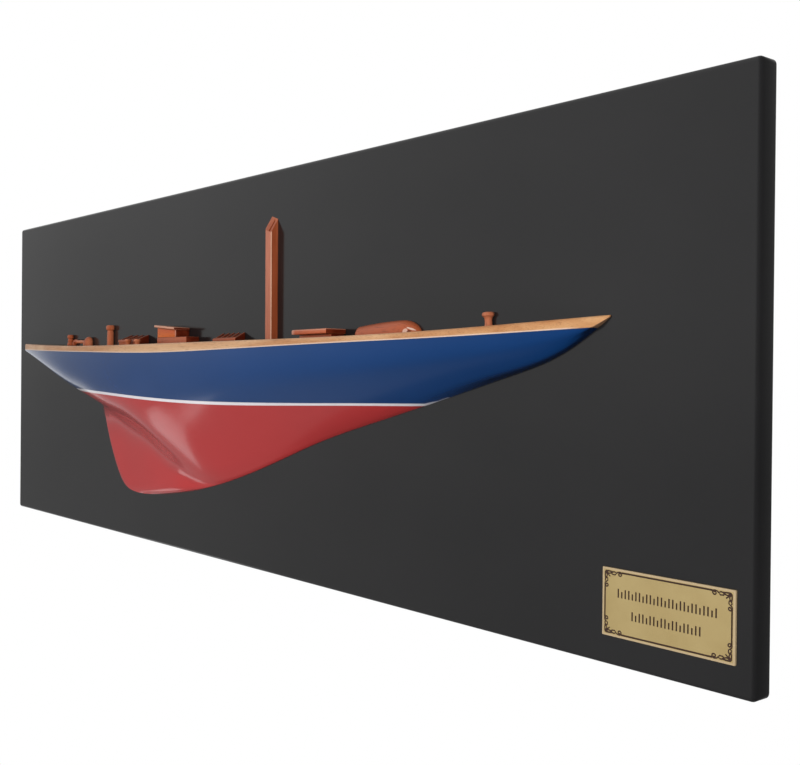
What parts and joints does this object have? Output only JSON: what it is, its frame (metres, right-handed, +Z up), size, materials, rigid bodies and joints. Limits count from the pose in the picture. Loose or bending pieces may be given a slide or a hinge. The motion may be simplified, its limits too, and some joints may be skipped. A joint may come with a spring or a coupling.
{
  "type": "half hull model",
  "caption": "Half hull model of a classic racing yacht with deck fittings, fixed to a dark rectangular wall board with an engraved plaque.",
  "frame": {"origin": "centre of the board's flat back, where it lies on the wall", "axes": "+Z up; +Y into the wall, so the model stands off the board towards -Y; +X along the board towards the model's bow"},
  "size_m": [0.9, 0.079, 0.3],
  "materials": {
    "board_lacquer": "dark satin lacquer",
    "hull_paint": "gloss paint, blue above a white waterline and red below it",
    "pale_wood": "satin varnish",
    "red_wood": "satin varnish",
    "brass": "satin, engraved"
  },
  "bodies": {
    "root": {"backboard": "board_lacquer", "hull": "hull_paint", "deck": "pale_wood", "mast_stub": "red_wood", "deckhouse_coaming": "red_wood", "deckhouse": "red_wood", "deckhouse_roof": "red_wood", "aft_skylight": "red_wood", "fore_skylight": "red_wood", "hatch_coaming": "red_wood", "hatch_lid": "red_wood", "dinghy": "red_wood", "bow_bollard": "red_wood", "tall_post": "red_wood", "aft_post": "red_wood", "steering_drum": "red_wood", "steering_spindle": "red_wood", "bitt_aft": "red_wood", "bitt_fore": "red_wood", "plaque": "brass"}
  },
  "joints": []
}
